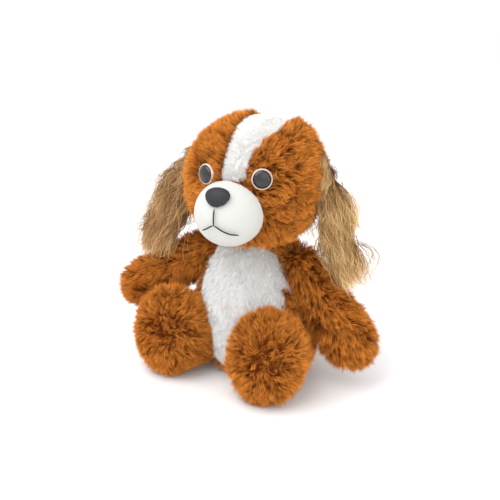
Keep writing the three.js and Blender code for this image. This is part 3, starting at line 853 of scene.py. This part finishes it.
def build_studio():
    bpy.ops.mesh.primitive_plane_add(size=12, location=(0, 0, 0))
    floor = bpy.context.object
    floor.name = "floor"
    floor.data.materials.append(plain_material("white floor", (0.92, 0.92, 0.92), 0.9))
    world = bpy.context.scene.world or bpy.data.worlds.new("world")
    bpy.context.scene.world = world
    world.use_nodes = True
    background = world.node_tree.nodes["Background"]
    background.inputs["Color"].default_value = (1, 1, 1, 1)
    background.inputs["Strength"].default_value = AIR_LIGHT
    area_light("key", **KEY_LIGHT)
    area_light("fill", **FILL_LIGHT)
    bpy.context.scene.view_settings.view_transform = "Standard"


def build_camera():
    data = bpy.data.cameras.new("camera")
    data.lens = VIEW_LENS
    data.sensor_width = 36
    camera = new_object("camera", data)
    a, e = math.radians(VIEW_AZIMUTH), math.radians(VIEW_ELEVATION)
    back = Vector((math.sin(a) * math.cos(e), -math.cos(a) * math.cos(e), math.sin(e)))
    right = Vector((math.cos(a), math.sin(a), 0))
    up = back.cross(right)
    aim = VIEW_TARGET + right * VIEW_OFFSET[0] + up * VIEW_OFFSET[1]
    camera.location = aim + back * VIEW_DISTANCE
    camera.rotation_mode = "QUATERNION"
    camera.rotation_quaternion = (-back).to_track_quat("-Z", "Y")
    bpy.context.scene.camera = camera


# CAD pieces that stay as they are take their finish here --------------------------------------
def finish_hard_pieces():
    finishes = {node: THREAD for node in ("back_closing_stitch", "neck_gather")}
    for side in SIDES:
        finishes.update({f"{side}_eye": EYE, f"{side}_eye_ring": RING, f"{side}_eye_washer": RING})
        finishes.update({f"{side}_shoulder_seam": THREAD, f"{side}_hip_seam": THREAD})
    for node, material in finishes.items():
        finish_mesh(nodes[node].data, material)


def build_nose():
    """The embroidered nose: the CAD pad drawn in towards its lower edge, with rows of satin stitch."""
    source = nodes["nose_patch"].data
    points = positions(source)
    low, high = points[:, 2].min(), points[:, 2].max()
    middle = points.mean(0)
    rise = (points[:, 2] - low) / (high - low)
    sideways = (points - middle) @ head_across
    points += np.outer(sideways * (NOSE_TAPER * (rise - NOSE_FULL_AT)), head_across)
    mesh = bpy.data.meshes.new("nose_satin_patch")
    mesh.from_pydata([tuple(v) for v in points], [], [tuple(f.vertices) for f in source.polygons])
    nose = new_object("nose_satin_patch", mesh)
    remesh = nose.modifiers.new("even", "REMESH")
    remesh.mode = "VOXEL"
    remesh.voxel_size = 0.8 * MM
    smooth = nose.modifiers.new("soft", "SMOOTH")
    smooth.iterations = 5
    baked(nose)
    points, outward = positions(nose.data), vertex_normals(nose.data)
    wander = np.sin(points[:, 2] / SATIN_WANDER) * 0.6
    rows = np.sin((points @ head_across) * 2 * math.pi / SATIN_ROW + wander)
    set_positions(nose.data, points + outward * (rows * SATIN_DEPTH)[:, None])
    finish_mesh(nose.data, SATIN)
    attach(nose, "head")
    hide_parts("nose_patch")


def middle_line(node, from_point, steps=9):
    """The run of a stitch as points, starting at its end nearer to a point."""
    points = corner_points(node)
    centre = points.mean(0)
    _, _, axes = np.linalg.svd(points - centre, full_matrices=False)
    along = (points - centre) @ axes[0]
    first, last = centre + axes[0] * along.min(), centre + axes[0] * along.max()
    if np.linalg.norm(first - from_point) > np.linalg.norm(last - from_point):
        along = -along
    edges = np.linspace(along.min(), along.max() + 1e-9, steps + 1)
    bins = [points[(along >= a) & (along < b)] for a, b in zip(edges, edges[1:])]
    return [b.mean(0) for b in bins if len(b)]


def build_mouth():
    """Three threads that meet under the nose, each drawn as a soft strand that sinks in at its ends."""
    top = np.array(centre_of("nose_patch"))
    centre_run = middle_line("mouth_centre_stitch", top)
    meeting = centre_run[-1]
    runs = {"mouth_centre_stitch": centre_run}
    for side in SIDES:
        runs[f"mouth_{side}_stitch"] = [meeting] + middle_line(f"mouth_{side}_stitch", meeting)
    for node, run in runs.items():
        curve = bpy.data.curves.new(node + "_thread", "CURVE")
        curve.dimensions = "3D"
        curve.bevel_depth = THREAD_RADIUS
        curve.bevel_resolution = 3
        spline = curve.splines.new("NURBS")
        spline.points.add(len(run) - 1)
        for index, point in enumerate(run):
            spline.points[index].co = (*point, 1)
            spline.points[index].radius = THREAD_ENDS if index in (0, len(run) - 1) else 1
        spline.order_u = 3
        spline.use_endpoint_u = True
        strand = new_object(node + "_thread", curve)
        curve.materials.append(SATIN)
        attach(strand, "head")
        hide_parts(node)


def build_label():
    """A blank ribbon folded into a loop, sewn to the back by its two ends."""
    low, high = (Vector(corner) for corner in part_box("care_label"))
    deep, tall = high.y - low.y, high.z - low.z
    middle = (low.x + high.x) / 2
    path = []
    for step in range(LABEL_STEPS + 1):
        turn = math.pi * (step / LABEL_STEPS * 2 - 1)
        along = (1 + math.cos(turn)) / 2
        path.append((middle + math.sin(turn) * LABEL_OPEN, low.y + deep * along))
    points = [(x, y, low.z + tall * end) for x, y in path for end in (0, 1)]
    faces = [(2 * k, 2 * k + 1, 2 * k + 3, 2 * k + 2) for k in range(LABEL_STEPS)]
    mesh = bpy.data.meshes.new("care_label_ribbon")
    mesh.from_pydata(points, [], faces)
    finish_mesh(mesh, LABEL)
    ribbon = new_object("care_label_ribbon", mesh)
    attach(ribbon, "torso")
    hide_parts("care_label")


build_head()
build_muzzle()
build_torso()
for limb_side in SIDES:
    build_arm(limb_side)
    build_leg(limb_side)
    build_ear(limb_side)
build_tail()
build_nose()
build_mouth()
build_label()
finish_hard_pieces()
build_studio()
build_camera()
